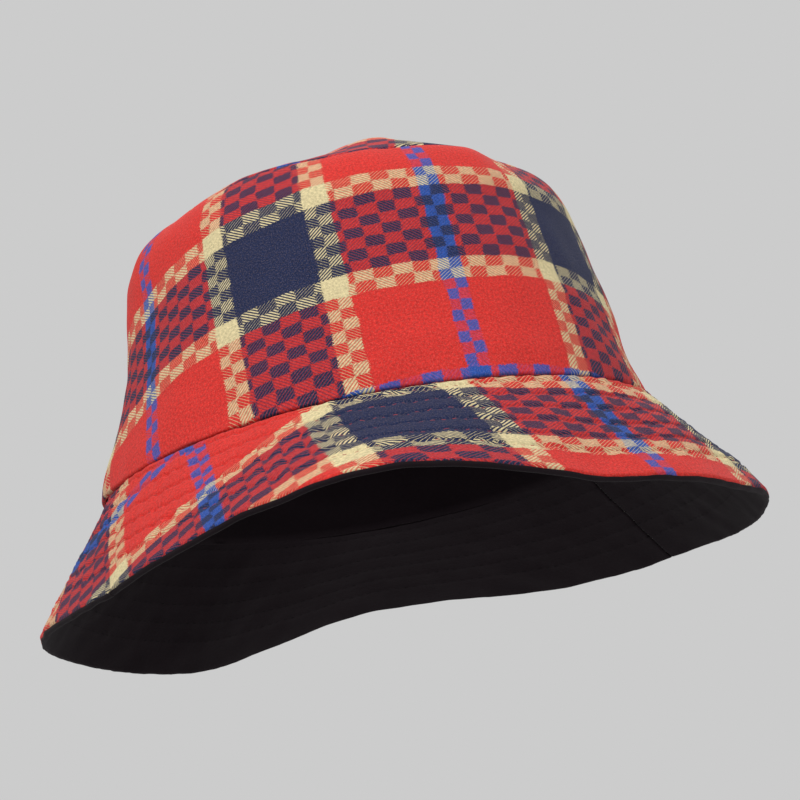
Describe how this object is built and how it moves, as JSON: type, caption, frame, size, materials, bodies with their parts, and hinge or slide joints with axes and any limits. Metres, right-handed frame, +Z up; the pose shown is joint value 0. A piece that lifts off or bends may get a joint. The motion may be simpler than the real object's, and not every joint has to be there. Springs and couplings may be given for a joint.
{
  "type": "bucket hat",
  "caption": "Soft bucket hat with a tapered crown, a domed tip and a wavy sloping stitched brim, in checked flannel with a dark lining.",
  "frame": {"origin": "middle of the head opening, level with the seam between the crown and the brim", "axes": "+Z up along the crown towards its tip, -Y towards the front, +X to the right seen from the front"},
  "size_m": [0.2522, 0.2801, 0.1522],
  "materials": {
    "plaid": "brushed flannel plaid in red, navy, cream and blue",
    "lining": "matt black plain weave with a faint nap",
    "interlining": "stiff uncoloured canvas",
    "topstitch_thread": "red sewing thread",
    "seam_thread": "red sewing thread",
    "lining_thread": "black sewing thread"
  },
  "bodies": {
    "root": {"brim_back": "plaid", "brim_edge_seam_thread": "seam_thread", "brim_front": "plaid", "brim_interlining_back": "interlining", "brim_interlining_front": "interlining", "brim_lining_left": "lining", "brim_lining_right": "lining", "brim_lining_seam_thread_left": "lining_thread", "brim_lining_seam_thread_right": "lining_thread", "brim_seam_thread_left": "seam_thread", "brim_seam_thread_right": "seam_thread", "brim_topstitch_row_1": "topstitch_thread", "brim_topstitch_row_2": "topstitch_thread", "brim_topstitch_row_3": "topstitch_thread", "brim_topstitch_row_4": "topstitch_thread", "brim_topstitch_row_5": "topstitch_thread", "brim_topstitch_row_6": "topstitch_thread", "crown_lining_back": "lining", "crown_lining_front": "lining", "crown_lining_seam_thread_left": "lining_thread", "crown_lining_seam_thread_right": "lining_thread", "crown_lining_tip": "lining", "crown_seam_thread_left": "seam_thread", "crown_seam_thread_right": "seam_thread", "crown_side_back": "plaid", "crown_side_front": "plaid", "crown_tip": "plaid", "head_lining_seam_thread": "lining_thread", "head_seam_thread": "seam_thread", "tip_lining_seam_thread": "lining_thread", "tip_seam_thread": "seam_thread"}
  },
  "joints": []
}
